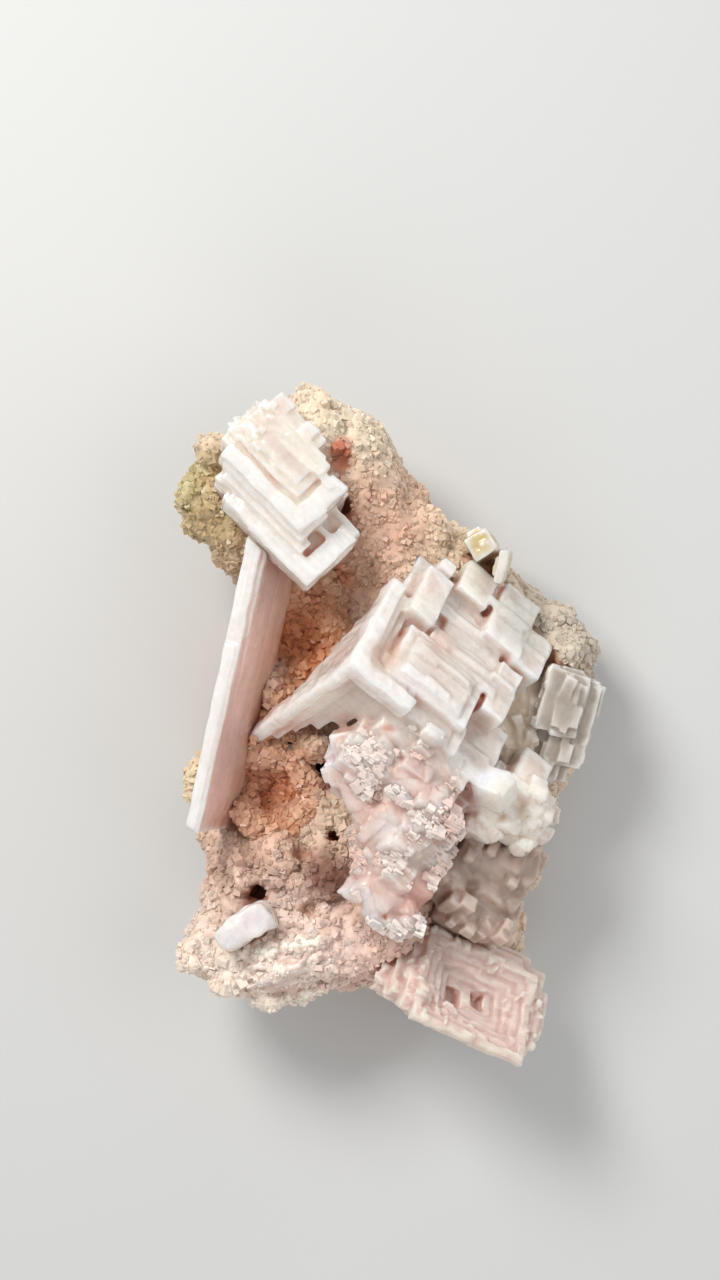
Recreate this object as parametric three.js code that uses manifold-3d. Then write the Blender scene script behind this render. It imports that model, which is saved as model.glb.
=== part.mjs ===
// Halite on trona. A granular lump of trona carries skeletal ("hopper") halite crystals and has two hollows
// lined with a crust of small crystals. Millimetres, Z up: the specimen lies on its flat broken back with
// its display side up, X to the right of that side and Y towards its top.
import * as THREE from "three";
import { mergeVertices } from "three/addons/utils/BufferGeometryUtils.js";
import Module from "manifold-3d";

const wasm = await Module();
wasm.setup();

// ---------- Driving dimensions ----------

const GAP = 0.3; // clearance between one piece and the next
const RIM = 3.3; // width of the raised rims of the main crystal
const MAIN_ARMS = { up: 20.5, right: 13, left: 31 }; // the three rims that meet at its corner
const STEPS = 6; // growth steps drawn on each sunken wall of the main crystal
const BLADE = { length: 54, depth: 14, thickness: 2.8 };
const CELL = 5.35; // grid of the matrix surface
const BLEND = 1; // how softly its masses run into each other
const ROUGHNESS = 1.1; // and how uneven their surface is
const HOLLOW_ROUGHNESS = 0.07; // as a share of a hollow's radius
const CRUST = 1.7; // thickness of the crust in the hollows

// ---------- Solids ----------

function solidOf(geometry) {
  const bare = new THREE.BufferGeometry();
  bare.setAttribute("position", geometry.getAttribute("position"));
  bare.setIndex(geometry.index);
  const merged = mergeVertices(bare, 1e-4);
  return new wasm.Manifold(
    new wasm.Mesh({
      numProp: 3,
      vertProperties: merged.attributes.position.array,
      triVerts: new Uint32Array(merged.index.array),
    }),
  );
}

function geometryOf(solid) {
  const { vertProperties, triVerts } = solid.getMesh();
  const geometry = new THREE.BufferGeometry();
  geometry.setAttribute("position", new THREE.BufferAttribute(vertProperties, 3));
  geometry.setIndex(new THREE.BufferAttribute(triVerts, 1));
  geometry.computeVertexNormals();
  return geometry;
}

function join(solids) {
  return solids.reduce((whole, next) => whole.add(next));
}

// The largest body of a solid, without the chips that a cut can leave.
function mainBody(solid) {
  return solid.decompose().sort((a, b) => b.volume() - a.volume())[0];
}

// The same solid seen from another frame.
function moved(solid, matrix) {
  return solidOf(geometryOf(solid).applyMatrix4(matrix));
}

// A block is its extent along each axis: [[x0, x1], [y0, y1], [z0, z1]].
function block([x, y, z], grow = 0) {
  const size = [x, y, z].map(([low, high]) => high - low + 2 * grow);
  const middle = [x, y, z].map(([low, high]) => (low + high) / 2);
  return solidOf(new THREE.BoxGeometry(...size).translate(...middle));
}

// ---------- Frames ----------

// A frame with its origin at corner, X along the first direction and Y near the second.
function frameAt(corner, along, across) {
  const x = new THREE.Vector3(...along).normalize();
  const z = new THREE.Vector3().crossVectors(x, new THREE.Vector3(...across)).normalize();
  const y = new THREE.Vector3().crossVectors(z, x);
  return new THREE.Matrix4().makeBasis(x, y, z).setPosition(...corner);
}

// ---------- Crystals ----------

// A crystal is a set of blocks, all parallel to its frame, less its sunken places. Its halo is the room that
// it needs in whatever holds it.
function crystal(frame, blocks, hollows = []) {
  const body = join(blocks.map((b) => block(b)));
  const cuts = hollows.map((h) => block(h));
  return {
    frame,
    solid: cuts.reduce((left, cut) => left.subtract(cut), body),
    halo: moved(join(blocks.map((b) => block(b, GAP))), frame),
  };
}

// Blocks whose outer corners are at the given places of the specimen, turned as the frame is.
function blocksAt(frame, places) {
  const inverse = frame.clone().invert();
  return places.map(([x, y, z, ...size]) => {
    const corner = new THREE.Vector3(x, y, z).applyMatrix4(inverse).toArray();
    return corner.map((low, axis) => [low, low + size[axis]]);
  });
}

// The main crystal. X, Y and Z run from its outer corner along its rims, into the crystal.
const mainFrame = frameAt([-6.5, 10.7, 47], [0.356, 0.686, -0.634], [0.756, -0.61, -0.237]);

function mainRims() {
  return [
    [[0, MAIN_ARMS.up], [0, RIM - 0.5], [0, RIM]],
    [[0, RIM - 0.3], [0, MAIN_ARMS.right], [0, RIM]],
    [[0, 2.6], [0, 2.2], [0, MAIN_ARMS.left]],
  ];
}

// The two sunken walls taper in steps from the shorter rims to the tip of the long one.
function mainWalls() {
  const walls = [];
  for (let i = 0; i < STEPS; i++) {
    const left = 1 - i / STEPS;
    const reach = MAIN_ARMS.left * (0.22 + (0.72 * i) / (STEPS - 1));
    const across = 1.5 + (MAIN_ARMS.right - 1.8) * left;
    const upwards = 2 + (MAIN_ARMS.up - 3) * left;
    walls.push([[1 + 0.12 * i, 4 + i * 0.2], [0.5, across], [0.5, reach]]);
    walls.push([[0.6, upwards], [0.7 + 0.1 * i, 4], [0.6, reach - 1]]);
    walls.push([[2, upwards + 1 - 2 * left], [2, across + 1 - 2.2 * left], [2.6, reach - 1.6]]);
  }
  return walls;
}

// The blocks that step over its upper face.
const mainBlocks = [
  [[3, 16], [3, 24], [4.8, 13]], // floor behind the front block
  [[14, 30], [3, 24], [2.2, 12]], // floor of the upper half
  [[6.6, 17], [2.6, 5.7], [1.5, 9]], // terrace beside the upper rim
  [[2.6, 7], [2.6, 6.8], [2.7, 9]], // floor of the pit in its corner
  [[21, 27.6], [12.6, 18.6], [1.5, 6]], // terrace below the top cube
  [[12.6, 15.6], [22, 24.2], [1.5, 9]], // step between the front and the right block
  [[4.3, 15], [6.4, 22.6], [0, 9]], // front block
  [[5.6, 13.4], [8.2, 20.6], [-0.7, 4]], // its raised middle
  [[15, 18.4], [10.4, 24.4], [0.2, 9]], // benches behind it
  [[18.2, 23], [12, 23.4], [1, 9]],
  [[10.5, 21.5], [23.7, 28.2], [0, 9]], // right block
  [[16.4, 27], [4.4, 9.6], [-1, 6]], // upper left plate
  [[28, 30.5], [6, 8.8], [-0.8, 6]], // small cube
  [[25, 29], [8, 12.5], [1, 6]], // shelf beside it
  [[27, 33.8], [10.4, 16.6], [-1, 7]], // top cube
  [[22.9, 35.2], [18, 25.5], [-1, 8]], // large white block
  [[22.3, 31], [24.8, 30.6], [-0.6, 8]], // its right lobe
  [[29, 34.5], [16.3, 18.4], [0.4, 7]], // shelf between the two
  [[2, 14], [15.7, 32], [5, 8.6]], // lower slab
  [[3.4, 14], [16, 31], [8.4, 16]], // what it rests on
  [[2.6, 10], [19, 24.5], [11, 16]], // ledges in front of it
  [[1.4, 8], [24.5, 30], [12, 17]],
  [[2, 8.2], [31.2, 36], [8, 13]], // what the bright cube sits on
  [[6, 12], [34, 41], [9, 14]], // grey step to its right
];

// The crust at its lower right edge: outer corner, then size along each rim's direction.
const lowerCrust = [
  [13.2, -11.6, 31.5, 8, 7, 6],
  [14.6, -14.6, 30.5, 7, 6, 5],
  [18.6, -13.6, 31, 9, 6, 6],
  [22.4, -16.2, 29.6, 9, 4, 5],
  [19.6, -8.8, 31.6, 2.2, 6.4, 5],
  [20.8, -8, 28.8, 7, 6, 6],
];

// The sugary pink growth below: outer corner, then size along each rim's direction. The upper blocks are long
// ones that carry on the lines of the main crystal, the rest step down from its crest.
const pinkBlocks = [
  [2.2, 3, 42, 5, 9, 9],
  [-1.6, 0.8, 41, 4.5, 13, 8],
  [-5.4, -0.6, 39.8, 4, 12, 6],
  [-3.6, -3.4, 40.6, 5, 13, 7],
  [6.4, -1, 40.4, 6, 5.4, 9],
  [0.6, -6.8, 40.8, 3, 9, 6],
  [3.8, -9.4, 40, 5, 4, 5],
  [8.6, -7.2, 38.4, 6, 4.6, 5],
  [7.4, -10.4, 37.8, 4, 2.6, 6.4],
  [-1.2, -13, 39, 4.8, 4.6, 6],
  [3, -13.6, 38.4, 4, 6, 4.6],
  [6.6, -15, 37, 6, 4, 6],
  [-1, -17.4, 37.6, 4, 6.4, 5],
  [2.4, -19, 37.2, 5, 4.8, 4],
  [-3.2, -21.2, 36, 5.4, 6, 4],
  [0.8, -22.8, 36, 4, 5, 6],
  [-4.6, -25.2, 37.2, 4.6, 4.4, 4],
  [-2.6, -28.4, 36.6, 6, 3.6, 4.6],
  [-7.6, -26, 34.6, 4, 4, 2.6],
  [0.2, -27.2, 35, 6, 5, 5],
  [3.6, -25, 34.6, 6, 5, 6],
  [0.6, -31.4, 33.4, 6, 4, 4],
];

// What carries it.
const pinkBase = [
  [1, 0.6, 37, 15, 12, 13],
  [-0.6, -9, 36, 13, 12, 10],
  [-1.4, -16.6, 34, 12, 11, 9],
];

// The plate along its left side. X runs down the plate, Y towards the crystal and Z out of its face.
const plateFrame = frameAt([-10.4, -1.4, 37.2], [0.25, -0.95, -0.17], [0.95, 0.26, 0.2]);
const plateBlocks = [
  [[0, 19.6], [0.4, 4.5], [-5, 0]],
  [[1.4, 18], [1.3, 4], [-4, 0.7]],
  [[4.4, 8.8], [-1.7, 2], [-4, -0.8]], // lobe over the lower hollow
  [[5.2, 7.8], [-2.6, 1], [-3.4, -1.2]],
];

// The bright cube above the lower crust, turned against the rest. X and Y run along its upper face.
const cubeFrame = frameAt([12.9, -9, 34.6], [0.55, 0.65, -0.52], [0.83, -0.3, 0.5]);
const cubeBlocks = [
  [[0, 5], [0, 5.4], [0, 5.4]],
  [[0.6, 4.6], [3, 6.2], [0.6, 5]],
];

function mainCluster() {
  const growths = blocksAt(mainFrame, [...pinkBlocks, ...pinkBase, ...lowerCrust]);
  const main = crystal(mainFrame, [...mainRims(), ...mainWalls(), ...mainBlocks, ...growths]);
  const turned = [crystal(plateFrame, plateBlocks), crystal(cubeFrame, cubeBlocks)];
  const back = mainFrame.clone().invert();
  return {
    frame: mainFrame,
    solid: join([main.solid, ...turned.map((c) => moved(c.solid, back.clone().multiply(c.frame)))]),
    halo: join([main.halo, ...turned.map((c) => c.halo)]),
  };
}

// The top crystal: two stepped layers. X runs up to the right, Y up to the left and Z out of its face.
function topHopper() {
  return crystal(frameAt([-14.4, 31.7, 41], [0.7, 0.66, -0.28], [-0.68, 0.735, -0.12]), [
    [[-3.9, 7.3], [-6.5, -3], [-9, -4.5]], // lower layer: right arm
    [[-3.9, -0.9], [-6.5, 13], [-9, -4.5]], // its left arm
    [[-3.3, 9], [-5.9, 14], [-12, -5.6]], // its floor
    [[-1.6, 1], [-2, 16], [-7, -3.2]], // terraces between the layers
    [[-0.6, 6], [-0.8, 17], [-7, -1.8]],
    [[0, 11], [0, 3.4], [-5, 0]], // upper layer: right arm
    [[0, 2.6], [0, 18.4], [-5, 0]], // its left arm
    [[2, 9], [3, 20.2], [-6, -0.7]], // its floor
    [[3.6, 11.1], [4.4, 20.4], [-6, 0.2]], // terraces towards the crest
    [[5.2, 12], [6, 19.6], [-6, 0.8]],
    [[6.6, 14.2], [8, 18.6], [-6, 0.4]],
    [[8.4, 11.4], [4.6, 8.6], [-3, 0.9]], // small blocks on them
    [[11.6, 14.4], [9.8, 12.4], [-3, 1.1]],
    [[11.8, 14.6], [15.6, 19], [-6, 0.9]], // crest
    [[-2, 12], [0, 17], [-15, -5]], // root
  ]);
}

// The blade. X runs down its length, Y across its thickness towards the hollow and Z up out of its rim.
function sideBlade() {
  const { length, depth, thickness } = BLADE;
  const upper = length * 0.4;
  return crystal(frameAt([-22.4, 35.6, 33.2], [-0.215, -0.976, -0.045], [0.92, -0.2, 0.33]), [
    [[0, length], [0, thickness], [-depth, 0]],
    [[0, upper - 1], [-0.5, thickness + 0.6], [-depth, -1.2]], // wider upper part
    [[upper + 0.5, length - 0.7], [0.3, thickness - 0.6], [-4, 0.6]], // raised lower rim
    [[1, length - 3.4], [thickness - 0.4, thickness + 0.5], [-depth, -2.6]], // growth steps on the broad face
    [[3, length - 6], [thickness, thickness + 1], [-depth, -5.4]],
    [[4, length - 12], [thickness, thickness + 1.4], [-depth, -8]],
    [[5, upper + 6], [thickness, thickness + 2], [-depth, -10.4]],
  ]);
}

// The corner hopper: square terraces that step down to two pits. Z is out of its face.
// Its underside steps in.
function cornerHopper() {
  const [wide, high] = [21.2, 17.3];
  const terraces = [];
  for (let i = 1; i <= 4; i++) {
    const inset = 1.5 * i;
    terraces.push([[inset, wide - inset], [inset, high - inset], [-0.7 * i, 1]]);
  }
  return crystal(
    frameAt([3.6, -46.9, 33], [0.867, -0.432, -0.249], [0.208, 0.767, -0.606]),
    [
      [[0, wide], [0, high], [-1.6, 0]],
      [[0.4, wide - 0.6], [1.8, high], [-3.8, -1]],
      [[0.6, wide - 1], [4, high], [-7, -3]],
      [[1, wide - 2], [6.6, high], [-10, -6]],
      [[-1.6, 3], [2.2, high + 1], [-3.6, -1.2]], // streaky left wall, in steps
      [[-3.2, 3], [4.2, high + 0.6], [-6, -3]],
      [[-4.8, 3], [6.4, high], [-9, -5]],
      [[12, 23.4], [4.4, high + 2], [-5, -1.4]], // smoother plates on the right
      [[14, 25.2], [7.4, high - 0.6], [-7, -2.8]],
      [[3, 20], [high - 1, high + 3.4], [-8, -1]], // upper shoulder
      [[8, 18], [high, high + 2], [-6, -0.2]],
    ],
    [
      ...terraces,
      [[6.4, 9.2], [6.4, 9.8], [-5, 1]],
      [[11, 13.8], [7.8, 10.8], [-4.6, 1]],
    ],
  );
}

// The smoky steps below the main crystal, parallel to it.
function smokySteps() {
  const places = [
    [12.6, -20.2, 28.4, 9, 9, 9],
    [17.4, -21.6, 27, 9, 6, 8],
    [20.6, -24.6, 24.6, 8, 4.4, 8],
    [13.8, -25.6, 27.4, 9, 7, 7],
    [18.2, -28.4, 25, 9, 5, 7],
    [10.6, -29.4, 28, 9, 6, 8],
    [15.4, -32.6, 26, 9, 5, 7],
    [9.2, -24.8, 29.6, 8, 5, 8],
  ];
  return crystal(mainFrame, blocksAt(mainFrame, places));
}

// Plates on the right edge. X runs up the edge and Z out of the display side.
function edgePlates() {
  return crystal(frameAt([26.9, -9.2, 20], [0.27, 0.95, 0.05], [-0.92, 0.26, 0.16]), [
    [[0, 12], [-3, 4], [-8, 0]],
    [[3, 17.4], [-4.6, 2], [-8, 1.4]],
    [[8, 18.6], [-2, 5.4], [-7, 2.6]],
    [[12.4, 17.6], [-5.4, 0], [-7, 0.4]],
    [[0, 6], [-1.4, 2.6], [-9, 1]],
  ]);
}

function whiteStub() {
  return crystal(frameAt([-26.4, -37.8, 25.6], [0.82, 0.56, 0.08], [-0.54, 0.82, -0.1]), [
    [[0.8, 9.2], [0, 4.6], [-1.5, 5.6]],
    [[0, 10], [0.7, 4.2], [-1, 5]],
    [[6, 9.8], [-0.5, 4.2], [-1.5, 5.2]],
  ]);
}

function rimCube() {
  return crystal(frameAt([15.4, 27.2, 19], [0.83, 0.5, 0.1], [-0.5, 0.85, -0.1]), [
    [[0, 4.3], [0, 4.1], [-6, 7]],
    [[0.8, 3.6], [3.4, 5], [-6, 6]],
  ]);
}

function rimBlade() {
  return crystal(frameAt([18.3, 24.6, 19], [0.97, -0.2, 0.1], [0.24, 0.95, 0.1]), [
    [[0, 1.5], [0, 5.4], [-6, 8]],
    [[-0.4, 1], [1, 4.2], [-6, 6.6]],
  ]);
}

function cavityPrism() {
  return crystal(frameAt([-16.3, -10.6, 12], [0.98, 0.06, 0.1], [-0.02, 0.86, -0.5]), [
    [[0, 2.4], [0, 1.9], [0, 11]],
    [[0.3, 1.9], [0.2, 1.6], [10.5, 12.2]],
  ]);
}

// ---------- Matrix ----------

// Smooth noise between -1 and 1, with a knot at each whole number.
function noise(x, y, z) {
  const knot = (i, j, k) => {
    const s = Math.sin(i * 127.1 + j * 311.7 + k * 74.7) * 43758.5453;
    return 2 * (s - Math.floor(s)) - 1;
  };
  const ease = (t) => t * t * (3 - 2 * t);
  const [i, j, k] = [x, y, z].map(Math.floor);
  const [u, v, w] = [x - i, y - j, z - k].map(ease);
  const mix = THREE.MathUtils.lerp;
  const row = (b, c) => mix(knot(i, b, c), knot(i + 1, b, c), u);
  const sheet = (c) => mix(row(j, c), row(j + 1, c), v);
  return mix(sheet(k), sheet(k + 1), w);
}

// A rough lump: its middle, its radii and how finely it's divided.
function lump([x, y, z], [rx, ry, rz], detail, roughness) {
  const shape = new THREE.IcosahedronGeometry(1, detail);
  const place = shape.getAttribute("position");
  const point = new THREE.Vector3();
  for (let i = 0; i < place.count; i++) {
    point.fromBufferAttribute(place, i);
    const at = [point.x * rx + x, point.y * ry + y, point.z * rz + z];
    const [wide, narrow] = [0.24, 0.56].map((scale) => noise(...at.map((v) => v * scale)));
    point.multiplyScalar(1 + roughness * (wide + narrow));
    place.setXYZ(i, point.x * rx + x, point.y * ry + y, point.z * rz + z);
  }
  return solidOf(shape);
}

// The closed surface where field(x, y, z) changes sign, negative inside: one vertex in each cell of a
// cubic grid that it crosses, and one quad round each grid edge that it crosses.
function skinOf(field, low, high, cell) {
  const counts = low.map((start, axis) => Math.ceil((high[axis] - start) / cell) + 1);
  const step = [1, counts[0], counts[0] * counts[1]];
  const spot = (index) => counts.map((n, axis) => Math.floor(index / step[axis]) % n);
  const total = counts[0] * counts[1] * counts[2];
  const values = Float64Array.from({ length: total }, (_, index) => {
    return field(...spot(index).map((n, axis) => low[axis] + n * cell));
  });
  const corners = [0, 1, 2, 3, 4, 5, 6, 7].map((c) => [c & 1, (c >> 1) & 1, (c >> 2) & 1]);
  const crossed = (a, b) => values[a] < 0 !== values[b] < 0;

  // A grid square with only two opposite corners inside would pinch the surface, so all four are put inside.
  const pinched = ([a, b, c, d]) => crossed(a, b) && crossed(a, c) && !crossed(a, d);
  for (let found = true; found; ) {
    found = false;
    for (let index = 0; index < total; index++) {
      const squares = step.map((u, axis) => [0, u, step[(axis + 1) % 3]].map((n) => index + n));
      squares.forEach(([a, b, c]) => {
        const square = [a, b, c, b + c - a];
        if (!pinched(square)) return;
        square.forEach((corner) => (values[corner] = Math.min(values[corner], -0.3)));
        found = true;
      });
    }
  }

  const positions = [];
  const vertices = new Map();
  for (let index = 0; index < total; index++) {
    const here = spot(index);
    if (here.some((n, axis) => n === counts[axis] - 1)) continue;
    const sum = new THREE.Vector3();
    let crossings = 0;
    for (const corner of corners) {
      const a = index + corner.reduce((offset, n, axis) => offset + n * step[axis], 0);
      for (let axis = 0; axis < 3; axis++) {
        if (corner[axis] || !crossed(a, a + step[axis])) continue;
        const share = values[a] / (values[a] - values[a + step[axis]]);
        sum.add(new THREE.Vector3(...corner.map((n, other) => (other === axis ? share : n))));
        crossings++;
      }
    }
    if (!crossings) continue;
    vertices.set(index, positions.length / 3);
    sum.divideScalar(crossings);
    positions.push(...sum.toArray().map((n, axis) => low[axis] + (here[axis] + n) * cell));
  }

  const faces = [];
  for (let index = 0; index < total; index++) {
    for (let axis = 0; axis < 3; axis++) {
      if (!crossed(index, index + step[axis])) continue;
      const [u, v] = [step[(axis + 1) % 3], step[(axis + 2) % 3]];
      const ring = [index, index - u, index - u - v, index - v].map((n) => vertices.get(n));
      if (values[index] >= 0) ring.reverse();
      const [a, b, c, d] = ring;
      faces.push(a, b, c, a, c, d);
    }
  }
  const skin = new THREE.BufferGeometry();
  skin.setAttribute("position", new THREE.Float32BufferAttribute(positions, 3));
  skin.setIndex(faces);
  return solidOf(skin);
}

// The body's main masses: middle x and y, height of the top, radius in plan, height from middle to top.
const masses = [
  [-13, 46.8, 33, 8.8, 12], // top
  [-7, 44, 31, 8, 11],
  [-20, 44, 31, 8.5, 12],
  [-3, 36.2, 29, 7.6, 11], // upper right slope
  [3, 30.2, 26, 7.6, 10.5],
  [-5, 31, 29, 7, 10.5],
  [2.5, 24, 29, 8, 11],
  [11.5, 24.5, 23, 7.6, 10],
  [18.5, 19.5, 18, 7.6, 9.5],
  [30.8, 12.2, 23.5, 5.8, 10], // right knob
  [26.6, 16.4, 19, 4, 8],
  [25, 3, 21, 9, 10],
  [23, -6, 21, 8.4, 10],
  [19, -15, 22, 8.2, 10], // lower right edge
  [17, -24, 20, 8.4, 10],
  [14, -33, 22, 8.2, 10],
  [15, -42, 20, 8.4, 9.5],
  [6, -40, 25, 8, 10.5],
  [-2, -36, 28, 7.4, 11], // bottom edge
  [-9.5, -36.5, 28, 7.4, 11],
  [-17, -39.5, 28, 7.6, 11],
  [-24.5, -38.5, 27.5, 6.6, 10.5],
  [-30.5, -38.2, 26.5, 4.7, 8.5],
  [-23, -32, 26, 6.8, 10.5],
  [-24.6, -24.4, 22.5, 7, 10], // lower left
  [-17.5, -24, 23, 7.4, 10],
  [-26, -16.6, 18, 5.4, 8],
  [-24, -3.6, 28.5, 3.2, 10], // crust side of the blade
  [-25.2, -10.4, 28, 3.4, 10],
  [-30.8, -9.4, 21, 4.6, 12], // far side of the blade
  [-21.8, 12.5, 21, 4.2, 8],
  [-23.6, 4.5, 22, 4.2, 8],
  [-10, -16, 20, 7, 9.5],
  [-20.6, 21, 18, 5, 8], // beside the upper hollow
  [-23, 31.4, 27, 5.6, 10.5],
  [-29.5, 37.2, 31, 5.2, 9.5], // yellow lump
  [-29, 42.4, 29, 4.4, 8.5],
  [-26.4, 30.4, 29, 3.6, 8],
  [-12.6, -2.8, 30, 3, 8], // below the long rim
  [4, 8, 26, 12, 11], // under the main crystal
  [14, 8, 20, 11, 10],
  [5, -10, 26, 11, 11],
  [5, -22, 27, 9, 11],
  [-3, 16, 24, 8, 10],
];

// Small bumps that catch the eye: middle, then radii.
const bumps = [
  [[-10, -24.2, 22.6], [4.2, 5.4, 5]], // brown nodule
  [[-18.6, -21.6, 22.4], [2.6, 3.4, 3]], // ridge between the pits
  [[-15.8, -27, 22.6], [3, 2.4, 3]],
  [[-10.7, -35.4, 29.6], [1.9, 2, 2.2]], // cream nodule
  [[-13.4, -15.8, 17], [3, 3, 3]],
  [[-33.8, -12.6, 19], [2.1, 3, 4]], // beside the blade
  [[-30.8, -16.4, 19], [2.4, 2.6, 3]],
  [[-22.8, 8.6, 16.4], [2.6, 3, 2.6]], // small clusters between blade and long rim
  [[-26, 3.4, 19], [2.8, 2.8, 3]],
  [[-12.4, 53, 27], [3.4, 3, 3.4]],
  [[-6.4, 49.6, 26], [3, 3, 3]],
  [[-0.4, 40.4, 24], [3, 3.4, 3]],
  [[6.4, 33.4, 22], [3.2, 3, 3]],
  [[11.4, 28.6, 19], [2.6, 2.6, 3]],
  [[-34, -38.4, 23], [2, 2.4, 2.6]],
  [[-27.6, -42.8, 23], [3, 2.4, 2.8]],
  [[-20.4, -45, 22], [3, 2.2, 2.8]],
  [[-32.6, 38.6, 26], [2.2, 2.6, 3]],
  [[-28.6, 45.6, 27], [3, 2.6, 3]],
];

// Places taken away: two hollows, then pits in the lower left.
const upperHollow = { middle: [-14.5, 15, 27], radii: [10.5, 15, 15] };
const lowerHollow = { middle: [-19.5, -11, 26], radii: [8.6, 8.8, 12] };
const pits = [
  [[-22.8, -28.2, 23.4], [3, 2.4, 6.4]],
  [[-18, -4.6, 20], [3, 2, 5]],
  [[-12.4, -8.6, 18], [2.4, 2.6, 7]],
  [[-9.2, -19, 21], [1.8, 1.6, 5]],
  [[-28.4, -23.2, 24], [1.8, 2.6, 4]],
];

// How far a place is outside an ellipsoid, roughly.
function beyond(x, y, z, [mx, my, mz], [rx, ry, rz]) {
  const reach = Math.hypot((x - mx) / rx, (y - my) / ry, (z - mz) / rz);
  return (reach - 1) * Math.min(rx, ry, rz);
}

// The masses run into each other over BLEND, and their surface is uneven by ROUGHNESS.
function matrixField(x, y, z) {
  const core = beyond(x, y, z, [-1, -3, 7], [27, 42, 18]);
  const parts = masses.map(([mx, my, top, radius, rise]) => {
    return beyond(x, y, z, [mx, my, top - rise], [radius, radius, rise]);
  });
  const nearness = [core, ...parts].reduce((sum, d) => sum + Math.exp(-d / BLEND), 0);
  const coarse = noise(x * 0.17, y * 0.17, z * 0.17);
  const fine = noise(x * 0.36, y * 0.36 + 7, z * 0.36);
  return -BLEND * Math.log(nearness) + ROUGHNESS * (coarse + fine);
}

function matrixBody() {
  const skin = skinOf(matrixField, [-44.3, -62.2, -8.1], [44.3, 64.2, 40.1], CELL);
  const small = bumps.map(([middle, radii]) => lump(middle, radii, 1, 0.2));
  const hollow = ({ middle, radii }) => lump(middle, radii, 2, HOLLOW_ROUGHNESS);
  const open = [upperHollow, lowerHollow].map(hollow);
  const holes = pits.map(([middle, radii]) => lump(middle, radii, 1, 0.15));
  const under = block([[-80, 80], [-90, 90], [-60, 0]]);
  return [...open, ...holes, under].reduce((left, cut) => left.subtract(cut), join([skin, ...small]));
}

// The crust of a hollow follows its wall, GAP inside it, and stops below its mouth.
function crust({ middle, radii }) {
  const mouth = block([[-40, 10], [-30, 40], [0, 22]]);
  const outer = lump(middle, radii.map((r) => r - GAP), 2, HOLLOW_ROUGHNESS);
  const inner = lump(middle, radii.map((r) => r - GAP - CRUST), 2, 2 * HOLLOW_ROUGHNESS);
  return outer.subtract(inner).intersect(mouth);
}

// ---------- Assembly ----------

const crystals = {
  halite_main_cluster: { ...mainCluster(), color: 0xe4d3cb, roughness: 0.35 },
  halite_top_hopper: { ...topHopper(), color: 0xe6dcd4, roughness: 0.35 },
  halite_side_blade: { ...sideBlade(), color: 0xd9c6bd, roughness: 0.4 },
  halite_corner_hopper: { ...cornerHopper(), color: 0xdcc0b4, roughness: 0.4 },
  halite_smoky_steps: { ...smokySteps(), color: 0xa5917f, roughness: 0.3 },
  halite_edge_plates: { ...edgePlates(), color: 0xc0b0a0, roughness: 0.3 },
  halite_white_stub: { ...whiteStub(), color: 0xefe9e6, roughness: 0.4 },
  halite_rim_cube: { ...rimCube(), color: 0xdccfa8, roughness: 0.35 },
  halite_rim_blade: { ...rimBlade(), color: 0xe3dcc4, roughness: 0.35 },
  halite_cavity_prism: { ...cavityPrism(), color: 0xcdb9a8, roughness: 0.2 },
};

const specimen = new THREE.Group();
specimen.name = "halite_on_trona";

function place(name, solid, frame, { color, roughness }) {
  const material = new THREE.MeshStandardMaterial({ color, roughness, metalness: 0 });
  const mesh = new THREE.Mesh(geometryOf(solid), material);
  mesh.name = name;
  mesh.applyMatrix4(frame);
  specimen.add(mesh);
}

const upright = new THREE.Matrix4();
const all = Object.values(crystals);
const held = join(all.map(({ halo }) => halo));
const druse = { color: 0x96553a, roughness: 0.7 };
place("trona_matrix", mainBody(matrixBody().subtract(held)), upright, { color: 0xd7bea5, roughness: 0.85 });
place("upper_hollow_druse", mainBody(crust(upperHollow).subtract(held)), upright, druse);
place("lower_hollow_druse", mainBody(crust(lowerHollow).subtract(held)), upright, druse);
Object.entries(crystals).forEach(([name, c]) => {
  // Where two crystals meet, the one listed first keeps its shape.
  const earlier = all.slice(0, all.indexOf(c)).map(({ halo }) => moved(halo, c.frame.clone().invert()));
  const solid = mainBody(earlier.reduce((left, halo) => left.subtract(halo), c.solid));
  place(name, solid, c.frame, c);
});

// The origin goes under the middle of the specimen, at the height of its flat back.
specimen.updateMatrixWorld(true);
const size = new THREE.Box3().setFromObject(specimen, true);
const shift = size.getCenter(new THREE.Vector3()).setZ(size.min.z);
specimen.children.forEach((mesh) => mesh.position.sub(shift));

export default specimen;
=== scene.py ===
import itertools
import math

import bpy
import numpy as np
from mathutils import Matrix, Vector
from mathutils.bvhtree import BVHTree


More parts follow.
